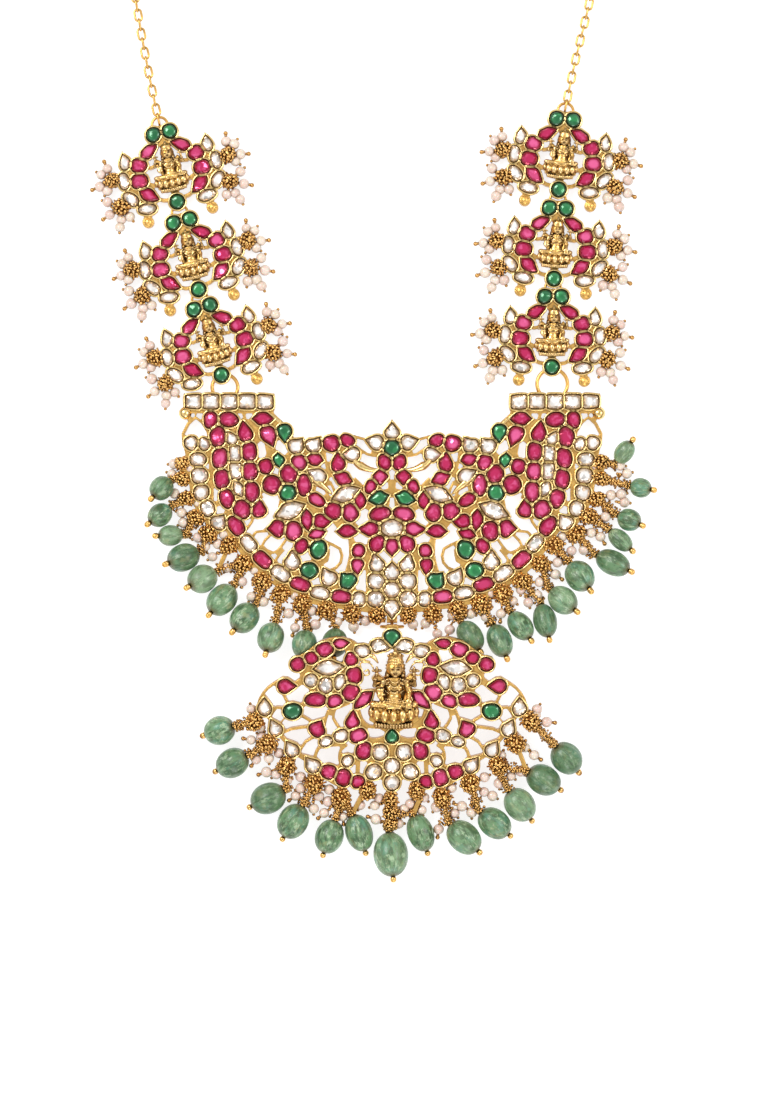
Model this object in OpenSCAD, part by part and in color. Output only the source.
// Temple necklace, lying flat on its back.
// Millimetres. Origin on the table under the centre of the upper pendant,
// X to the right of the wearer's picture, Y up to the neck, Z up from the table.

/* [Frames] */

// height of the soldered frames
frame_h = 2.4; // [1.8:0.1:3]

// thickness of a cup wall round its stone
bezel = 0.62; // [0.5:0.02:0.9]

// gap between a stone and its cup
stone_gap = 0.19; // [0.14:0.01:0.22]

// height of a cup's floor
cup_floor = 0.7; // [0.4:0.1:1.2]

// gaps in the pierced work narrower than this are filled
fill_gap = 1.0; // [0.4:0.1:1.4]

// gaps between neighbouring cups narrower than this are filled
cup_gap = 1.9; // [1:0.1:2.4]

/* [Stones] */

// height of a stone's girdle above the frame
girdle_rise = 0.1; // [0:0.05:0.4]

// height of a stone's table above the frame
stone_rise = 0.9; // [0.4:0.05:1.2]

// size of the table facet against the whole stone
table_part = 0.6; // [0.45:0.01:0.75]

/* [Lower pendant] */

// height of the lower pendant's back at its lower end
low_back_z = 3.4; // [3:0.1:5]

// tilt of the lower pendant, which lies over two beads of the upper one
low_tilt = 6.3; // [5:0.1:8]

/* [Beads and pins] */

// diameter of a head pin
pin_d = 0.8; // [0.6:0.05:1]

// diameter of the hole in a green bead
bead_hole = 1.1; // [0.9:0.05:1.4]

// diameter of the ball at the end of a pin
ball_d = 1.5; // [1.2:0.1:1.8]

/* [Links and rings] */

// height of a link
link_h = 2.4; // [1.8:0.1:3]

// distance from a link's centre to the ring above it
ring_up = 11.5; // [11:0.1:12]

// radius of the jump ring between two links
ring_r = 1.95; // [1.8:0.05:2.2]

// wire of the jump rings between links
ring_wire = 0.7; // [0.6:0.05:0.9]

// height of the flat jump rings' wire above the table
ring_z = 1.0; // [0.8:0.1:1.2]

/* [Chain] */

// width of the back chain
chain_d = 2.6; // [2:0.1:4]

/* [Node] */

// sub-part shown, or all

/* [Hidden] */
OVAL = 0;
DROP = 1;
LEAF = 2;
BOX = 3;
// floor of the cups over a jump ring's tunnel
raised_floor = 1.8;

// Stone tables of the left half, mirrored for the right.
// Columns: x, y, wide, high, turn, kind. A drop's tip and a leaf's tips lie along its height.

upper_ruby_half = [
  [-45.3, 26.9, 2.9, 3.4, -15, OVAL],
  [-43.4, 22.7, 3.2, 4.6, 0, OVAL],
  [-42.9, 17.4, 3.2, 4.7, -8, OVAL],
  [-42.4, 12.2, 3.2, 4.4, -3, OVAL],
  [-41.2, 7.3, 3.0, 4.2, 14, OVAL],
  [-37.4, 4.6, 3.6, 4.0, 35, OVAL],
  [-33.0, 4.7, 3.2, 3.6, 0, DROP],
  [-40.7, 27.0, 4.1, 2.8, -10, OVAL],
  [-36.6, 24.0, 3.0, 4.4, 12, DROP],
  [-35.5, 19.0, 3.2, 4.2, 0, OVAL],
  [-35.4, 14.1, 3.1, 4.1, 0, OVAL],
  [-35.0, 9.1, 3.0, 4.5, 5, OVAL],
  [-32.2, 27.2, 2.6, 4.8, 90, LEAF],
  [-30.7, 22.7, 3.3, 5.0, 205, DROP],
  [-29.9, 10.7, 3.9, 3.9, 0, OVAL],
  [-25.6, 13.5, 3.6, 4.0, 0, OVAL],
  [-29.0, -0.2, 3.7, 4.0, 90, DROP],
  [-24.6, -0.8, 3.6, 4.0, 0, OVAL],
  [-21.1, 2.0, 2.4, 4.2, 5, LEAF],
  [-17.4, 1.6, 2.9, 3.9, -90, DROP],
  [-23.2, 16.3, 3.2, 3.4, 0, OVAL],
  [-21.9, 10.6, 2.7, 4.8, 5, OVAL],
  [-18.8, 7.0, 2.7, 4.4, -120, LEAF],
  [-15.1, 21.1, 3.4, 3.4, 0, OVAL],
  [-13.5, 16.3, 2.9, 3.9, 0, DROP],
  [-12.2, 12.3, 2.8, 3.9, -110, LEAF],
  [-14.7, 4.2, 3.6, 3.6, 0, OVAL],
  [-10.3, 3.9, 3.4, 3.8, 0, OVAL],
  [-1.9, 16.4, 2.5, 3.3, 20, OVAL],
  [-3.0, 3.5, 4.6, 2.7, 10, OVAL],
  [-5.8, -0.3, 2.7, 4.2, 90, DROP],
  [-11.3, -0.9, 2.8, 4.6, -90, LEAF],
  [-3.7, -3.9, 3.0, 3.6, -35, OVAL],
  [-38.8, 0.4, 4.8, 2.9, -58, OVAL],
  [-32.3, -7.9, 5.0, 3.0, -42, OVAL],
  [-22.9, -14.1, 4.7, 2.7, -17, OVAL],
  [-12.7, -17.2, 4.4, 2.7, -5, OVAL]
];

upper_ruby_mid = [
  [0, -4.9, 3.0, 3.7, 180, DROP]
];

upper_diamond_half = [
  [-49.6, 31.5, 3.6, 2.9, 0, BOX],
  [-45.1, 31.5, 3.6, 2.9, 0, BOX],
  [-40.6, 31.5, 3.6, 2.9, 0, BOX],
  [-36.1, 31.5, 3.6, 2.9, 0, BOX],
  [-31.6, 31.5, 3.6, 2.9, 0, BOX],
  [-25.4, 4.4, 3.7, 7.0, -68, LEAF],
  [-23.8, 20.5, 3.4, 3.4, -40, DROP],
  [-19.4, 20.8, 3.2, 3.3, -40, DROP],
  [-18.6, 13.0, 3.1, 4.3, 60, DROP],
  [-10.0, 18.2, 3.0, 3.6, 90, DROP],
  [-11.6, 8.4, 3.3, 6.6, -68, LEAF],
  [-4.5, 21.4, 3.2, 4.0, 75, DROP],
  [-24.9, -8.1, 3.2, 4.0, 0, DROP],
  [-15.9, -12.1, 3.3, 3.9, 30, DROP],
  [-3.9, -8.8, 3.0, 3.8, 15, DROP],
  [-4.0, -13.3, 3.8, 3.4, 0, OVAL],
  [-4.0, -17.8, 3.6, 3.5, 0, OVAL],
  [-35.7, -3.9, 4.6, 2.7, -50, OVAL],
  [-27.8, -11.4, 5.0, 2.8, -33, OVAL],
  [-17.9, -16.3, 4.5, 2.5, -10, OVAL],
  [-48.0, 13.0, 3.7, 3.3, 0, OVAL],
  [-47.6, 8.8, 3.6, 3.0, 30, OVAL],
  [-46.0, 4.8, 3.0, 3.2, -30, OVAL],
  [-43.2, 1.4, 3.2, 3.4, -35, DROP]
];

upper_diamond_mid = [
  [0, 0, 5.0, 3.6, 0, OVAL],
  [0, 24.3, 2.9, 3.7, 0, DROP],
  [0, -10.9, 3.2, 3.7, 0, DROP],
  [0, -15.4, 3.4, 3.4, 0, OVAL],
  [0, -20.4, 3.2, 4.3, 180, DROP]
];

upper_emerald_half = [
  [-26.7, 23.8, 3.1, 3.9, 180, DROP],
  [-26.0, 8.8, 3.4, 3.4, 0, OVAL],
  [-3.2, 7.5, 3.0, 4.4, -75, LEAF],
  [-18.2, -5.4, 3.6, 4.1, -15, OVAL],
  [-20.6, -10.6, 3.6, 3.3, 0, OVAL],
  [-11.1, -13.0, 3.8, 3.6, 40, DROP]
];

upper_emerald_mid = [
  [0, 20.0, 3.5, 3.5, 0, OVAL]
];

// Cups of the finest stones, which are set in afterwards.
upper_fine_half = [
  [-40.1, 22.3, 1.9, 2.9, 25, DROP],
  [-39.2, 18.6, 2.0, 3.2, 0, BOX],
  [-39.0, 14.1, 2.2, 3.4, 0, BOX],
  [-38.2, 9.7, 1.9, 3.4, 25, LEAF],
  [-31.5, 15.4, 2.8, 3.0, 0, OVAL],
  [-28.2, 17.0, 2.2, 2.9, 10, LEAF],
  [-19.2, 17.1, 2.4, 3.6, -100, LEAF],
  [-11.1, 21.9, 3.0, 2.4, -15, OVAL],
  [-8.0, 6.6, 2.2, 3.8, -5, LEAF],
  [-2.9, 12.7, 2.3, 2.3, 45, BOX],
  [-5.3, 10.3, 2.0, 2.8, -25, OVAL],
  [-18.7, -1.5, 2.0, 3.3, -75, LEAF],
  [-22.6, -4.5, 2.3, 3.0, -25, OVAL],
  [-8.4, -5.6, 2.5, 2.9, 0, OVAL],
  [-8.6, -9.6, 2.4, 3.3, 180, DROP],
  [-8.2, -17.8, 2.4, 3.2, 0, OVAL],
  [-50.2, 21.2, 3.0, 2.8, 0, OVAL],
  [-46.9, 20.9, 1.9, 2.4, 30, OVAL],
  [-48.4, 17.0, 3.6, 2.6, 0, OVAL]
];

lower_ruby_half = [
  [-16.7, -29.6, 3.8, 2.9, 15, OVAL],
  [-23.5, -33.4, 3.1, 3.0, 0, OVAL],
  [-9.3, -36.1, 3.3, 3.6, 0, OVAL],
  [-10.2, -40.3, 3.7, 3.6, 0, OVAL],
  [-6.9, -42.1, 2.8, 5.5, -48, LEAF],
  [-19.0, -42.2, 4.8, 2.8, 0, OVAL],
  [-26.0, -38.8, 3.4, 4.4, -90, DROP],
  [-18.5, -49.2, 3.7, 3.9, -30, DROP],
  [-9.8, -47.3, 2.8, 3.8, -5, DROP],
  [-8.4, -51.1, 3.9, 3.0, 8, OVAL],
  [-15.7, -60.3, 3.3, 3.0, 0, OVAL],
  [-12.1, -61.8, 3.3, 3.7, 0, OVAL]
];

lower_diamond_half = [
  [-15.7, -34.2, 3.2, 6.6, -85, LEAF],
  [-16.4, -38.6, 2.9, 3.2, 0, OVAL],
  [-31.6, -43.9, 3.2, 4.1, 0, DROP],
  [-29.0, -49.3, 3.1, 3.9, 25, DROP],
  [-25.0, -54.5, 3.2, 4.0, 31, DROP],
  [-20.0, -58.4, 3.2, 4.0, 37, DROP],
  [-3.0, -55.3, 3.3, 3.3, 0, OVAL],
  [-4.6, -60.3, 3.3, 3.3, 0, OVAL]
];

lower_diamond_mid = [
  [0, -58.8, 3.0, 3.0, 0, OVAL],
  [0, -63.2, 3.4, 3.4, 0, OVAL]
];

lower_emerald_half = [
  [-24.7, -45.1, 4.3, 3.7, 0, OVAL]
];

lower_emerald_mid = [
  [0, -26.6, 3.2, 3.7, 180, DROP],
  [0, -51.0, 2.8, 3.4, 0, DROP]
];

lower_fine_half = [
  [-12.6, -28.1, 2.0, 3.7, -85, LEAF],
  [-19.9, -31.7, 2.2, 2.7, -75, OVAL],
  [-10.1, -32.1, 2.4, 2.8, 0, OVAL],
  [-14.2, -42.6, 3.2, 2.5, 20, OVAL],
  [-7.0, -55.0, 3.1, 3.9, -15, OVAL],
  [-8.5, -62.8, 2.6, 2.5, 0, OVAL],
  [-20.2, -37.4, 2.7, 2.6, 0, OVAL],
  [-12.9, -37.8, 2.1, 3.2, -20, OVAL],
  [-12.6, -51.2, 2.9, 2.5, 20, OVAL],
  [-11.1, -57.4, 2.3, 2.3, 0, OVAL],
  [-7.3, -30.0, 3.2, 2.5, -10, OVAL],
  [-2.9, -28.8, 2.6, 4.0, -100, DROP],
  [-16.4, -52.8, 2.5, 1.9, 35, OVAL]
];

// Link stones, about the link's centre.
link_half = [
  [-4.3, 5.3, 2.4, 4.6, -62, LEAF],
  [-7.3, 2.6, 3.4, 3.0, 0, OVAL],
  [-8.0, -1.3, 3.6, 3.2, 0, OVAL],
  [-6.5, -5.1, 2.6, 4.7, -128, LEAF],
  [-10.6, 4.4, 2.1, 3.5, 0, DROP],
  [-11.9, -0.4, 2.2, 3.4, 0, OVAL],
  [-11.2, -5.2, 3.6, 2.3, -45, OVAL],
  [-7.6, -8.6, 3.9, 2.1, -8, OVAL],
  [-2.2, 9.4, 3.0, 3.0, 0, OVAL]
];

link_mid = [
  [0, -8.3, 3.5, 3.5, 0, OVAL]
];

// Links. Columns: x, y, turn.
left_links = [[-44.8, 46.1, 16], [-50.2, 67.5, 14], [-55.4, 89.4, 13]];
right_links = [[40.0, 48.4, -1], [40.8, 70.4, -3], [42.3, 92.6, -5]];

// Jump rings from a top bar to the lowest link. Columns: x, y, radius.
bar_rings = [[-41.7, 35.1, 3.2], [40.0, 35.9, 3.8]];

// Scroll wires. Each row: width, then points x, y that a smooth line runs through.
upper_wires = [
  [0.75, [-45.6, 20.8], [-45.9, 24.0], [-49.0, 27.6], [-52.1, 23.5], [-51.4, 19.5], [-50.6, 15.5], [-50.2, 11],
    [-49.6, 7.5], [-48, 4], [-46.0, 1.2], [-43.2, -1.4]],
  [0.66, [-45.0, 3.0], [-44.8, 9.0], [-45.3, 15.0], [-45.2, 20.0]],
  [0.66, [-34.3, 21.5], [-33.0, 25.2], [-31.0, 18.6], [-33.6, 12.0], [-32.4, 7.4]],
  [0.66, [-33.0, 7.0], [-35.0, 1.5], [-36.8, -0.8]],
  [0.66, [-31.6, -0.8], [-33.8, -1.0], [-34.6, -2.0]],
  [0.66, [-30.6, -2.0], [-32.4, -4.4], [-29.6, -6.2], [-27.6, -4.6], [-26.0, -2.2]],
  [0.66, [-27.0, -5.4], [-29.0, -8.0], [-27.8, -9.6]],
  [0.75, [-19.6, -0.4], [-16.6, -3.4], [-13.0, -5.2], [-12.8, -8.6], [-15.6, -10.6], [-19.4, -8.6]],
  [0.66, [-15.8, -5.4], [-16.2, -8.2], [-18.2, -9.0]],
  [0.66, [-10.6, -2.6], [-10.4, -6.8], [-11.4, -10.8]],
  [0.66, [-6.6, -7.0], [-6.2, -11.2], [-6.2, -16.0]],
  [1.6, [-42.6, 0.8], [-41.0, -0.6], [-38.4, -4.2], [-34.8, -9.0], [-30.2, -12.8], [-25.2, -15.9], [-19.8, -18.2],
    [-13.8, -19.3], [-8, -20.0], [-2.6, -20.8]],
  [0.75, [-27.6, 26.4], [-30.0, 28.6], [-31.6, 31.0]],
  [0.75, [-36.6, 26.8], [-37.2, 29.2], [-38.0, 31.0]],
  [0.75, [-45.6, 28.6], [-46.6, 31.0]],
  [0.66, [-28.8, 26.2], [-29.6, 20.6], [-29.6, 17.0]],
  [0.66, [-24.6, 22.2], [-25.2, 18.4], [-24.8, 16.0]],
  [0.66, [-17.2, 22.4], [-16.6, 16.8], [-15.8, 13.0], [-16.6, 9.4], [-14.8, 6.6]],
  [0.66, [-17.6, 11.6], [-15.4, 11.4], [-14.2, 8.6]],
  [0.66, [-9.6, 16.4], [-7.8, 14.8], [-4.6, 14.8]],
  [0.66, [-9.0, 20.4], [-6.2, 18.4], [-3.6, 18.0]],
  [0.66, [-9.4, 12.4], [-7.6, 10.6], [-6.4, 8.6]],
  [0.66, [-6.4, 22.0], [-8.6, 22.6], [-10.8, 23.2]],
  [0.66, [-1.2, 14.6], [-0.6, 10.6], [-1.0, 5.4]],
  [0.66, [-29.6, 13.0], [-30.6, 15.0]],
  [0.66, [-22.0, 7.8], [-22.4, 5.4]],
  [0.66, [-27.8, 6.8], [-28.6, 2.0]],
  [0.66, [-14.4, 2.4], [-12.2, 0.4]]
];

lower_wires = [
  [0.66, [-13.6, -26.8], [-17.4, -27.8], [-20.6, -30.2], [-23.0, -31.6]],
  [0.66, [-14.6, -27.2], [-10.6, -27.4], [-8.6, -28.6]],
  [0.66, [-22.6, -35.2], [-22.6, -37.0], [-24.6, -38.4]],
  [0.66, [-23.0, -37.4], [-21.0, -38.4], [-20.0, -40.4]],
  [0.66, [-28.2, -37.6], [-30.8, -39.4], [-32.8, -42.2], [-33.6, -45.4]],
  [0.66, [-27.0, -40.8], [-26.0, -42.8]],
  [0.66, [-30.0, -46.2], [-28.6, -44.2], [-26.8, -44.6]],
  [0.66, [-22.6, -46.2], [-20.8, -47.2], [-19.8, -48.0]],
  [0.66, [-27.4, -50.8], [-25.0, -49.6], [-20.4, -49.0]],
  [0.66, [-23.0, -55.4], [-21.4, -52.8], [-18.8, -51.4]],
  [0.8, [-10.6, -43.0], [-13.2, -44.1], [-15.8, -45.2], [-16.8, -48.6]],
  [0.66, [-14.0, -44.4], [-14.6, -46.9], [-12.9, -49.6]],
  [0.8, [-19.0, -56.2], [-18.2, -54.4], [-16.0, -53.7], [-12.4, -53.5]],
  [0.66, [-11.2, -53.6], [-12.7, -54.9], [-13.1, -57.0], [-12.4, -59.6]],
  [0.66, [-10.8, -28.6], [-11.8, -33.4], [-11.6, -38.0]],
  [1.0, [-4.4, -28.9], [-1.4, -27.4]],
  [0.7, [-8.2, -45.0], [-7.4, -47.4], [-5.6, -49.0], [-3.0, -49.2], [-1.4, -50.2]],
  [0.7, [-8.0, -50.8], [-6.0, -52.0], [-3.8, -52.3], [-1.6, -51.6]],
  [0.75, [-10.0, -64.0], [-7.0, -62.6], [-4.6, -62.0]],
  [0.75, [-22.0, -56.6], [-17.8, -61.0], [-12.6, -64.2]],
  [1.1, [-31.0, -45.8], [-29.8, -47.6]],
  [1.1, [-27.8, -51.0], [-26.2, -52.8]],
  [1.1, [-23.6, -55.8], [-21.4, -57.2]],
  [1.1, [-19.0, -60.2], [-19.4, -62.4]],
  [1.1, [-12.3, -63.6], [-12.5, -65.8]],
  [1.1, [-2.4, -56.6], [-1.0, -57.8]],
  [1.1, [-4.4, -55.4], [-6.2, -55.8]],
  [1.1, [-3.2, -60.0], [-1.4, -59.2]],
  [1.1, [-8.4, -57.6], [-8.6, -61.6]]
];

link_wires = [
  [0.8, [-1.2, 8.2], [-1.6, 6.8], [-3.2, 6.4]],
  [0.9, [-5.0, -6.2], [-3.2, -7.2], [-1.6, -7.4]],
  [0.8, [-9.6, 3.8], [-8.6, 3.4]],
  [0.8, [-6.4, -2.0], [-4.2, -3.2], [0, -3.8]],
  [0.8, [-6.0, 2.0], [-4.6, 1.4], [-3.2, 1.8]],
  [0.9, [-12.8, 0], [-14.4, 0.4]],
  [0.9, [-12.4, -5.8], [-13.6, -6.2]],
  [0.9, [-10.4, -0.6], [-9.6, -0.8]],
  [0.9, [-9.9, -4.6], [-8.4, -3.6]],
  [0.9, [-8.0, -7.6], [-7.2, -6.4]]
];

// Granule rosettes. Columns: x, y, outer radius.
upper_rosettes = [
  [-52.1, 16.2, 1.8], [-52.2, 12.4, 1.8], [-51.0, 7.4, 1.9], [-48.9, 2.9, 2.0], [-45.8, -1.5, 2.1],
  [-40.6, -4.4, 2.2], [-37.2, -8.9, 2.2], [-32.4, -13.2, 2.3], [-27.7, -16.4, 2.3], [-22.2, -18.8, 2.3],
  [-16.3, -20.4, 2.3], [-10.1, -21.4, 2.2], [-3.9, -21.6, 2.0]
];

lower_rosettes = [
  [-34.3, -47.6, 2.2], [-30.8, -53.2, 2.3], [-26.2, -58.9, 2.3], [-19.5, -63.4, 2.3], [-12.6, -67.0, 2.3],
  [-6.2, -65.2, 2.1]
];

lower_rosettes_mid = [
  [-0.4, -67.4, 1.9], [-0.4, -70.6, 1.9], [-0.4, -73.6, 1.8]
];

// Green beads. Columns: x, y, x and y of the pin's end ball, across, along,
// then x and y of the metal that the pin is soldered to.
upper_beads = [
  [-57.4, 9.9, -60.2, 6.9, 5.8, 6.2, -52.4, 12.6],
  [-57.8, 3.2, -61.0, 0.7, 5.7, 6.4, -51.6, 6.6],
  [-55.2, -1.9, -58.8, -2.0, 5.2, 6.1, -49.0, 2.6],
  [-51.9, -7.4, -56.4, -9.1, 7.0, 8.3, -46.0, -1.8],
  [-47.2, -12.7, -51.2, -15.0, 7.0, 7.6, -41.0, -5.2],
  [-42.3, -17.9, -45.7, -21.9, 7.0, 8.8, -37.2, -9.0],
  [-36.7, -22.4, -39.5, -25.7, 7.0, 8.2, -32.4, -13.4],
  [-30.2, -27.3, -31.5, -31.6, 6.8, 7.6, -27.7, -16.6],
  [-21.8, -29.0, -22.4, -33.0, 6.4, 7.2, -22.0, -18.9],
  [-14.2, -28.6, -14.5, -32.7, 6.4, 7.2, -16.3, -20.6],
  [57.9, 18.9, 59.7, 21.6, 4.6, 6.2, 52.2, 16.2],
  [62.0, 10.0, 64.8, 9.5, 4.9, 5.2, 52.4, 12.4],
  [59.1, 2.0, 62.2, 0.6, 5.5, 5.9, 51.2, 7.2],
  [56.9, -3.0, 59.6, -5.5, 4.5, 7.0, 49.2, 2.6],
  [55.0, -8.7, 59.5, -10.9, 6.3, 9.0, 46.2, -1.6],
  [46.7, -12.0, 49.3, -15.6, 7.1, 8.1, 40.8, -5.2],
  [42.5, -18.0, 45.8, -20.7, 6.6, 8.0, 37.2, -9.0],
  [38.1, -23.1, 39.0, -27.2, 5.8, 8.6, 32.4, -13.4],
  [32.0, -24.4, 34.6, -28.0, 5.8, 8.0, 27.7, -16.6],
  [26.8, -28.1, 28.3, -31.8, 6.2, 8.6, 22.0, -18.9],
  [19.5, -27.0, 21.9, -30.7, 6.2, 8.4, 16.3, -20.6]
];

lower_beads = [
  [-42.9, -50.4, -47.1, -51.8, 7.2, 7.8, -34.3, -47.6],
  [-39.7, -58.5, -44.0, -60.7, 7.4, 8.4, -30.8, -53.2],
  [-30.8, -67.3, -35.4, -69.5, 7.6, 9.0, -26.2, -58.9],
  [-24.6, -73.0, -27.3, -77.5, 7.5, 9.0, -19.5, -63.4],
  [-15.6, -76.8, -17.2, -81.5, 7.1, 8.5, -12.6, -67.0],
  [-8.2, -75.9, -6.6, -80.8, 6.6, 9.3, -7.4, -66.2],
  [-0.3, -81.2, 0.3, -87.0, 8.7, 11.0, -0.4, -73.8],
  [7.1, -75.9, 8.8, -80.8, 6.7, 9.4, 7.2, -66.2],
  [17.9, -77.0, 22.2, -81.1, 7.6, 9.4, 12.6, -67.0],
  [25.5, -73.5, 29.3, -76.5, 7.4, 8.8, 19.5, -63.4],
  [31.8, -68.9, 35.2, -73.4, 7.4, 8.8, 26.2, -58.9],
  [37.7, -62.7, 42.2, -65.4, 7.4, 8.9, 30.8, -53.2],
  [43.4, -57.3, 46.6, -61.0, 7.4, 8.6, 34.3, -47.6]
];

// Middle line of the back chain, left and right. Columns: x, y.
chain_left_line = [[-58.6, 103.7], [-60.4, 112], [-63, 126], [-65.4, 142], [-66.4, 158], [-66, 174],
  [-63.6, 190], [-59, 206], [-51, 222], [-40, 236.5], [-26, 248], [-13, 254.5], [-6.4, 256]];
chain_right_line = [[43.6, 107.2], [45.6, 116], [49, 130], [52.4, 146], [55, 162], [56, 178], [55.2, 194],
  [51.6, 210], [44.6, 225], [34.5, 239], [22, 249.5], [11, 255], [6.4, 256]];

// Small helpers

function mirrored(t) = [for (s = t) [-s[0], s[1], s[2], s[3], -s[4], s[5]]];
function both(half, mid) = concat(half, mirrored(half), mid);
function low_z(y) = low_back_z + (y + 62) * tan(low_tilt);
function unit(v) = v / norm(v);

// Outline of a stone about its centre, anticlockwise.
function outline(kind) =
  kind == OVAL ? [for (i = [0:9]) [cos(36 * i + 18), sin(36 * i + 18)]] :
  kind == DROP ? [[0, 1], [-0.5, 0.5], [-0.9, 0.05], [-0.97, -0.42], [-0.6, -0.86],
    [0, -1], [0.6, -0.86], [0.97, -0.42], [0.9, 0.05], [0.5, 0.5]] :
  kind == LEAF ? [[0, 1], [-0.5, 0.64], [-0.86, 0.28], [-0.86, -0.28], [-0.5, -0.64],
    [0, -1], [0.5, -0.64], [0.86, -0.28], [0.86, 0.28], [0.5, 0.64]] :
  [[0.72, 1], [-0.72, 1], [-1, 0.72], [-1, -0.72], [-0.72, -1], [0.72, -1], [1, -0.72], [1, 0.72]];

function stone_points(s) = [for (p = outline(s[5]))
  let (a = p[0] * s[2] / 2, b = p[1] * s[3] / 2)
  [s[0] + a * cos(s[4]) - b * sin(s[4]), s[1] + a * sin(s[4]) + b * cos(s[4])]];

// A cut stone: flat back, straight girdle, sloping crown facets and a table.
module stone(s, back, girdle, top) {
  ring = stone_points(s);
  n = len(ring);
  flat = [for (p = ring) [s[0] + (p[0] - s[0]) * table_part, s[1] + (p[1] - s[1]) * table_part]];
  points = concat([for (p = ring) [p[0], p[1], back]], [for (p = ring) [p[0], p[1], girdle]],
    [for (p = flat) [p[0], p[1], top]]);
  sides = [for (k = [0:1], i = [0:n - 1]) let (j = (i + 1) % n) [k * n + i, k * n + n + i, k * n + n + j, k * n + j]];
  polyhedron(points, concat([[for (i = [0:n - 1]) i]], sides, [[for (i = [n - 1:-1:0]) 2 * n + i]]));
}

function floor_of(s) = s[1] > 30 ? raised_floor : cup_floor;

module stones(t) {
  for (s = t) stone(s, floor_of(s) + 0.12, frame_h + girdle_rise, frame_h + stone_rise);
}

// Blind pockets that the stones sit in.
module pockets(t) {
  for (s = t) translate([0, 0, floor_of(s)])
    linear_extrude(frame_h) polygon(stone_points([s[0], s[1], s[2] + 2 * stone_gap, s[3] + 2 * stone_gap, s[4], s[5]]));
}

module closed_2d(gap) {
  offset(delta = -gap / 2, chamfer = true) offset(delta = gap / 2, chamfer = true) children();
}

// The cups are the first child and the low wires the rest.
// The outline is extruded in strips between the cuts, which join into one solid.
module metal(h, cuts) {
  for (i = [0:len(cuts) - 2]) linear_extrude(h) offset(delta = 0) intersection() {
    closed_2d(fill_gap) {
      closed_2d(cup_gap) children(0);
      children([1:$children - 1]);
    }
    translate([cuts[i], -100]) square([cuts[i + 1] - cuts[i], 200]);
  }
}

module outlines_2d(t) {
  for (s = t) polygon(stone_points(s));
}

// Smooth line through points, and a strip of metal along it.
function between(a, b, c, d, t) = 0.5 * ((2 * b) + (c - a) * t + (2 * a - 5 * b + 4 * c - d) * t * t
  + (3 * b - a - 3 * c + d) * t * t * t);
function smooth(p, n) = let (m = len(p)) [for (i = [0:m - 2], k = [0:(i == m - 2 ? n : n - 1)])
  between(p[max(i - 1, 0)], p[i], p[i + 1], p[min(i + 2, m - 1)], k / n)];
function along(p, i) = unit(p[min(i + 1, len(p) - 1)] - p[max(i - 1, 0)]);
function strip(p, w) = concat(
  [for (i = [0:len(p) - 1]) let (d = along(p, i)) p[i] + [-d[1], d[0]] * w / 2],
  [for (i = [len(p) - 1:-1:0]) let (d = along(p, i)) p[i] - [-d[1], d[0]] * w / 2]);

module wire_2d(row) {
  polygon(strip(smooth([for (i = [1:len(row) - 1]) row[i]], 2), row[0]));
}

module rosette_2d(r) {
  polygon([for (i = [0:11]) let (q = r[2] * (i % 2 == 0 ? 1 : 0.8)) [r[0] + q * cos(30 * i), r[1] + q * sin(30 * i)]]);
}

module lug_2d(a, b, w) {
  d = unit(b - a) * w / 2;
  polygon([a + [-d[1], d[0]], a - [-d[1], d[0]], b - [-d[1], d[0]], b + [-d[1], d[0]]]);
}

// Flat ring of round wire, lying at the height given.
module ring(x, y, z, r, wire) {
  translate([x, y, z]) rotate_extrude($fn = 48) translate([r, 0]) circle(d = wire, $fn = 16);
}

// Head pin from the metal to its end ball, through the middle of its bead.
module pin(b, root_z) {
  ball = pin_end(b, root_z);
  rod(pin_root(b, root_z), ball, pin_d);
  translate(ball) sphere(d = ball_d, $fn = 20);
}

// The pin runs straight in plan through the bead's middle, and back to the metal.
function pin_dir(b) = unit([b[2] - b[0], b[3] - b[1]]);
function pin_back(b) = b[5] / 2 + 1.1;
function bead_z(b) = b[4] / 2 + 0.25;
function pin_slope(b, root_z) = (bead_z(b) - root_z) / pin_back(b);
function pin_root(b, root_z) = [b[0] - pin_dir(b)[0] * pin_back(b), b[1] - pin_dir(b)[1] * pin_back(b), root_z];
function pin_end(b, root_z) = let (d = b[5] / 2 * 0.98 + ball_d / 2)
  [b[0] + pin_dir(b)[0] * d, b[1] + pin_dir(b)[1] * d, bead_z(b) + pin_slope(b, root_z) * d];

module rod(a, b, d) {
  v = b - a;
  translate(a) rotate([0, acos(v[2] / norm(v)), atan2(v[1], v[0])]) cylinder(d = d, h = norm(v), $fn = 20);
}

// Drilled green bead, turned about its pin.
module bead(b, root_z) {
  n = 9;
  hole = bead_hole / 2;
  start = asin(hole / (b[4] / 2)) * 1.0;
  profile = [for (i = [0:n]) let (a = start + (180 - 2 * start) * i / n) [b[4] / 2 * sin(a), -b[5] / 2 * cos(a)]];
  translate([b[0], b[1], bead_z(b)])
    rotate([0, 90 - atan(pin_slope(b, root_z)), atan2(b[3] - b[1], b[2] - b[0])])
    rotate_extrude($fn = 28) polygon(concat(profile, [[hole, profile[n][1]], [hole, profile[0][1]]]));
}

// Upper pendant

function upper_all() = both(concat(upper_ruby_half, upper_diamond_half, upper_emerald_half, upper_fine_half),
  concat(upper_ruby_mid, upper_diamond_mid, upper_emerald_mid));

module upper_cups_2d() {
  offset(delta = bezel) outlines_2d(upper_all());
  for (side = [-1, 1]) translate([side * 40.6, 31.5]) square([22.6, 4.1], center = true);
}

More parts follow.
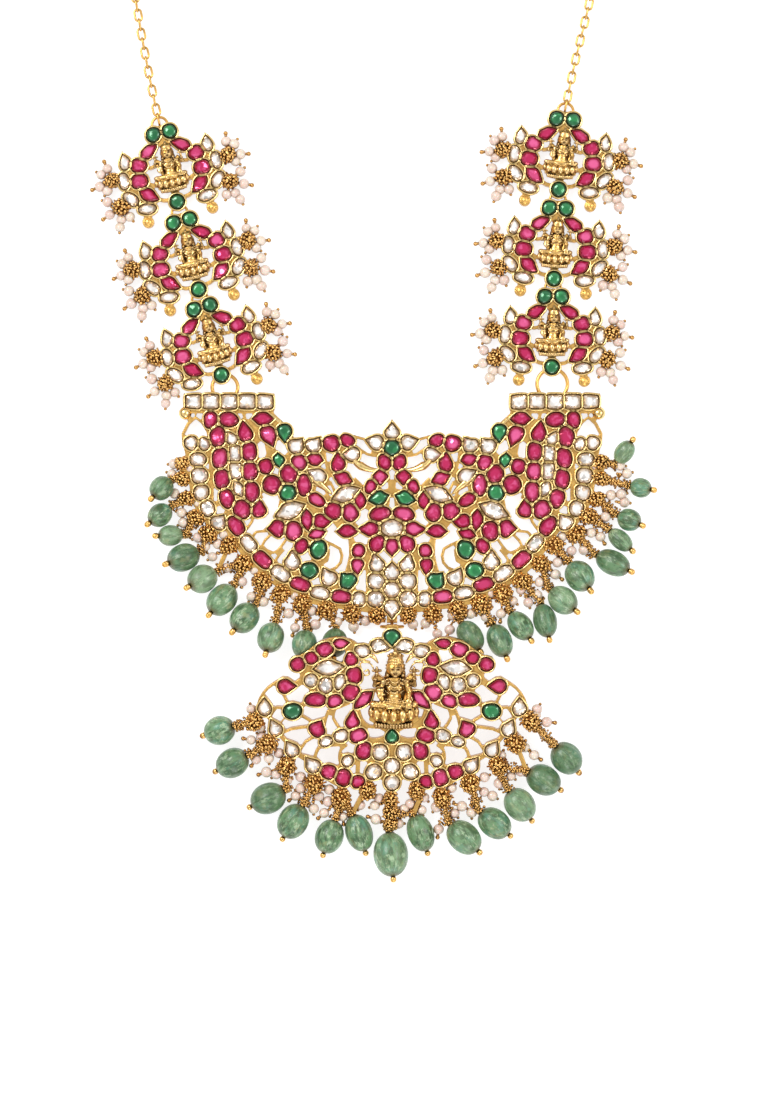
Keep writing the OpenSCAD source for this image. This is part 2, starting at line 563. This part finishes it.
module upper_low_2d() {
  for (m = [0, 1]) mirror([m, 0, 0]) {
    for (w = upper_wires) wire_2d(w);
    for (r = upper_rosettes) rosette_2d(r);
    lug_2d([-52, 29.3], [-29.5, 29.3], 1.4);
    translate([-51.6, 28.6]) circle(d = 3, $fn = 24);
    lug_2d([-5, 8.4], [0, 9.6], 0.9);
    lug_2d([-4.6, -10], [-4.6, -20], 0.9);
  }
  for (b = upper_beads) pin_lug_2d(b);
  translate([-1.3, -23.7]) square([2.6, 2.4]);
}

module pin_lug_2d(b) {
  r = pin_root(b, 0);
  lug_2d([r[0], r[1]] + pin_dir(b) * 0.5, [b[6], b[7]], 1.1);
}

module upper_frame() {
  color([0.83, 0.62, 0.28]) {
    difference() {
      metal(frame_h, [-70, -36, -24, -12, 0, 12, 24, 36, 70]) {
        upper_cups_2d();
        upper_low_2d();
      }
      pockets(upper_all());
      for (r = bar_rings) ring(r[0], r[1], ring_z, r[2], 1.2);
    }
    for (b = upper_beads) pin(b, 1.2);
    standing_eye(1.9);
  }
}

// Small eye standing on edge, for the ring that carries the lower pendant.
module standing_eye(z) {
  translate([0, -24.6, z]) rotate([0, 90, 0]) rotate_extrude($fn = 32) translate([1.4, 0]) circle(d = 0.8, $fn = 16);
}

module upper_rubies() { color([0.72, 0.07, 0.28]) stones(both(upper_ruby_half, upper_ruby_mid)); }
module upper_diamonds() { color([0.92, 0.9, 0.88]) stones(both(upper_diamond_half, upper_diamond_mid)); }
module upper_emeralds() { color([0.05, 0.42, 0.22]) stones(both(upper_emerald_half, upper_emerald_mid)); }

// Lower pendant, modelled flat, then leant on the beads under it

module lean() {
  translate([0, -62, low_back_z]) rotate([low_tilt, 0, 0]) translate([0, 62, 0]) children();
}

function lower_all() = both(concat(lower_ruby_half, lower_diamond_half, lower_emerald_half, lower_fine_half),
  concat(lower_diamond_mid, lower_emerald_mid));

module lower_low_2d() {
  for (m = [0, 1]) mirror([m, 0, 0]) {
    for (w = lower_wires) wire_2d(w);
    for (r = lower_rosettes) rosette_2d(r);
  }
  for (r = lower_rosettes_mid) rosette_2d(r);
  lug_2d([-0.4, -64.8], [-0.4, -74], 1.2);
  lug_2d([0, -52.4], [0, -57.4], 1.1);
  lug_2d([0, -60.2], [0, -61.8], 1.1);
  for (b = lower_beads) pin_lug_2d(b);
  translate([-1.3, -26.4]) square([2.6, 2.8]);
  figure_2d(1);
}

module lower_frame() {
  color([0.83, 0.62, 0.28]) {
    lean() {
      difference() {
        metal(frame_h, [-60, -16, 0, 16, 60]) {
          offset(delta = bezel) outlines_2d(lower_all());
          lower_low_2d();
        }
        pockets(lower_all());
      }
      translate([0.5, -49, frame_h]) figure(1);
    }
    for (b = lower_beads) pin(b, low_z(b[7]) + 0.8);
    standing_eye(6.4);
  }
}

module lower_rubies() { color([0.72, 0.07, 0.28]) lean() stones(both(lower_ruby_half, [])); }
module lower_diamonds() { color([0.92, 0.9, 0.88]) lean() stones(both(lower_diamond_half, lower_diamond_mid)); }
module lower_emeralds() { color([0.05, 0.42, 0.22]) lean() stones(both(lower_emerald_half, lower_emerald_mid)); }

// Seated figure in relief, its base at the origin, about 18 mm high at full size.
// The plate under it is cut to its outline.
module figure_2d(k) {
  translate([0.5, -49]) scale(k) figure_outline_2d();
}

module figure_outline_2d() {
  polygon([[-3.4, 0], [-6.2, 1.8], [-5.6, 4.2], [-3.4, 6.6], [-4.2, 9.4], [-5.6, 12.2], [-4.2, 13.6], [-2.4, 12.0],
    [-1.8, 14.6], [-1.6, 16.6], [0, 18.2], [1.6, 16.6], [1.8, 14.6], [2.4, 12.0], [4.2, 13.6], [5.6, 12.2],
    [4.2, 9.4], [3.4, 6.6], [5.6, 4.2], [6.2, 1.8], [3.4, 0]]);
}

module figure(k) {
  scale(k) {
    linear_extrude(0.9) figure_outline_2d();
    translate([0, 3.4, 0.9]) cylinder(d = 5.6, h = 0.8, $fn = 24);
    translate([0, 14.9, 1.5]) sphere(d = 3.9, $fn = 24);
    translate([0, 16.2, 1.1]) rotate([-90, 0, 0]) cylinder(d1 = 3.2, d2 = 0.9, h = 2.0, $fn = 20);
    rod([0, 5.6, 1.2], [0, 12.6, 1.2], 3.6);
    rod([-5.0, 4.4, 1.2], [2.6, 3.6, 1.4], 2.4);
    rod([5.0, 4.4, 1.2], [-2.6, 3.6, 1.4], 2.4);
    for (m = [-1, 1]) {
      rod([m * 1.6, 11.6, 1.0], [m * 3.6, 9.0, 0.9], 1.5);
      rod([m * 3.6, 9.0, 0.9], [m * 2.6, 6.0, 1.1], 1.4);
      rod([m * 1.8, 11.4, 0.9], [m * 4.6, 12.6, 0.7], 1.3);
    }
  }
}

// Figure links

module link_metal_2d() {
  offset(delta = bezel - 0.1) outlines_2d(both(link_half, link_mid));
}

// balls: the sides, -1 and 1, that have a gold ball at the foot
module link_low_2d(balls) {
  for (m = balls) {
    lug_2d([m * 7.6, -9.4], [m * 8.2, -11.2], 0.9);
    translate([m * 8.2, -11.6]) circle(d = 2.9, $fn = 24);
  }
  for (m = [0, 1]) mirror([m, 0, 0]) {
    for (w = link_wires) wire_2d(w);
    rosette_2d([-14.6, 0.4, 1.9]);
    rosette_2d([-13.8, -6.2, 1.9]);
  }
  translate([-1.1, 6]) square([2.2, 5.2]);
  translate([-1, -7]) square([2, 2.4]);
  translate([0, -5.4]) scale(0.63) figure_outline_2d();
}

// A cup at the foot or the head of a link stands over a ring's tunnel.
function link_floor(s) = abs(s[0]) < 3 ? raised_floor : cup_floor;

module link_flat(balls) {
  difference() {
    metal(link_h, [-20, 0, 20]) {
      link_metal_2d();
      link_low_2d(balls);
    }
    for (s = both(link_half, link_mid)) translate([0, 0, link_floor(s)]) linear_extrude(link_h)
      polygon(stone_points([s[0], s[1], s[2] + 2 * stone_gap, s[3] + 2 * stone_gap, s[4], s[5]]));
  }
  for (m = balls) translate([m * 8.2, -11.6, 1.5]) sphere(d = 2.7, $fn = 24);
  translate([0, -5.4, link_h]) figure(0.63);
}

// Middle of the ring above a link, on the line to the next one.
function ring_above(l) = [l[0] - ring_up * sin(l[2]), l[1] + ring_up * cos(l[2])];

module link(row, below, balls) {
  color([0.83, 0.62, 0.28]) difference() {
    translate([row[0], row[1], 0]) rotate(row[2]) link_flat(balls);
    ring(below[0], below[1], ring_z, below[2], below[3]);
    let (up = ring_above(row)) ring(up[0], up[1], ring_z, ring_r, ring_wire + 0.3);
  }
}

function below_of(links, bar, i) = i == 0 ? [bar[0], bar[1], bar[2], 1.2] :
  let (up = ring_above(links[i - 1])) [up[0], up[1], ring_r, ring_wire + 0.3];

// The lowest left link lies so near its bar that it has one ball only.
module link_left(i) { link(left_links[i], below_of(left_links, bar_rings[0], i), i == 0 ? [1] : [-1, 1]); }
module link_right(i) { link(right_links[i], below_of(right_links, bar_rings[1], i), [-1, 1]); }

module link_ring(l) {
  up = ring_above(l);
  color([0.83, 0.62, 0.28]) ring(up[0], up[1], ring_z, ring_r, ring_wire);
}

module bar_ring(r) { color([0.83, 0.62, 0.28]) ring(r[0], r[1], ring_z, r[2], 0.9); }

module rings_left() {
  bar_ring(bar_rings[0]);
  for (l = left_links) link_ring(l);
}

module rings_right() {
  bar_ring(bar_rings[1]);
  for (l = right_links) link_ring(l);
}

// Ring in an upright plane that joins the two standing eyes.
module pendant_ring() {
  color([0.83, 0.62, 0.28]) translate([0, -24.6, 4.1]) rotate([90, 0, 0])
    rotate_extrude($fn = 40) translate([2.65, 0]) circle(d = 0.8, $fn = 16);
}

// Chain

module tube(line, d, n) {
  p = smooth(line, 2);
  m = len(p);
  pts = [for (i = [0:m - 1], k = [0:n - 1]) let (v = along(p, i), a = 360 * k / n)
    [p[i][0] - v[1] * cos(a) * d / 2, p[i][1] + v[0] * cos(a) * d / 2, d / 2 + 0.3 + sin(a) * d / 2]];
  sides = [for (i = [0:m - 2], k = [0:n - 1]) let (j = (k + 1) % n)
    [i * n + k, i * n + j, i * n + n + j, i * n + n + k]];
  polyhedron(pts, concat([[for (k = [0:n - 1]) n - 1 - k]], sides, [[for (k = [0:n - 1]) (m - 1) * n + k]]));
}

module chain_left() { color([0.83, 0.62, 0.28]) tube(chain_left_line, chain_d, 8); }
module chain_right() { color([0.83, 0.62, 0.28]) tube(chain_right_line, chain_d, 8); }

// Plain barrel clasp with an eye at each end.
module clasp() {
  color([0.83, 0.62, 0.28]) translate([0, 256, 1.9]) {
    rotate([0, 90, 0]) translate([0, 0, -3.4]) cylinder(d = 3.4, h = 6.8, $fn = 28);
    for (m = [-1, 1]) translate([m * 4.5, 0, 0]) rotate_extrude($fn = 28) translate([1.2, 0]) circle(d = 0.8, $fn = 14);
  }
}

module upper_bead(i) { color([0.45, 0.58, 0.42]) bead(upper_beads[i], 1.2); }
module lower_bead(i) { color([0.45, 0.58, 0.42]) bead(lower_beads[i], low_z(lower_beads[i][7]) + 0.8); }

// Bottom: what is shown
upper_frame();
upper_rubies();
upper_diamonds();
upper_emeralds();
lower_frame();
lower_rubies();
lower_diamonds();
lower_emeralds();
link_left(0);  // link_left_1
link_left(1);  // link_left_2
link_left(2);  // link_left_3
link_right(0);  // link_right_1
link_right(1);  // link_right_2
link_right(2);  // link_right_3
rings_left();
rings_right();
pendant_ring();
chain_left();
chain_right();
clasp();
upper_bead(0);  // upper_bead_1
upper_bead(1);  // upper_bead_2
upper_bead(2);  // upper_bead_3
upper_bead(3);  // upper_bead_4
upper_bead(4);  // upper_bead_5
upper_bead(5);  // upper_bead_6
upper_bead(6);  // upper_bead_7
upper_bead(7);  // upper_bead_8
upper_bead(8);  // upper_bead_9
upper_bead(9);  // upper_bead_10
upper_bead(10);  // upper_bead_11
upper_bead(11);  // upper_bead_12
upper_bead(12);  // upper_bead_13
upper_bead(13);  // upper_bead_14
upper_bead(14);  // upper_bead_15
upper_bead(15);  // upper_bead_16
upper_bead(16);  // upper_bead_17
upper_bead(17);  // upper_bead_18
upper_bead(18);  // upper_bead_19
upper_bead(19);  // upper_bead_20
upper_bead(20);  // upper_bead_21
lower_bead(0);  // lower_bead_1
lower_bead(1);  // lower_bead_2
lower_bead(2);  // lower_bead_3
lower_bead(3);  // lower_bead_4
lower_bead(4);  // lower_bead_5
lower_bead(5);  // lower_bead_6
lower_bead(6);  // lower_bead_7
lower_bead(7);  // lower_bead_8
lower_bead(8);  // lower_bead_9
lower_bead(9);  // lower_bead_10
lower_bead(10);  // lower_bead_11
lower_bead(11);  // lower_bead_12
lower_bead(12);  // lower_bead_13
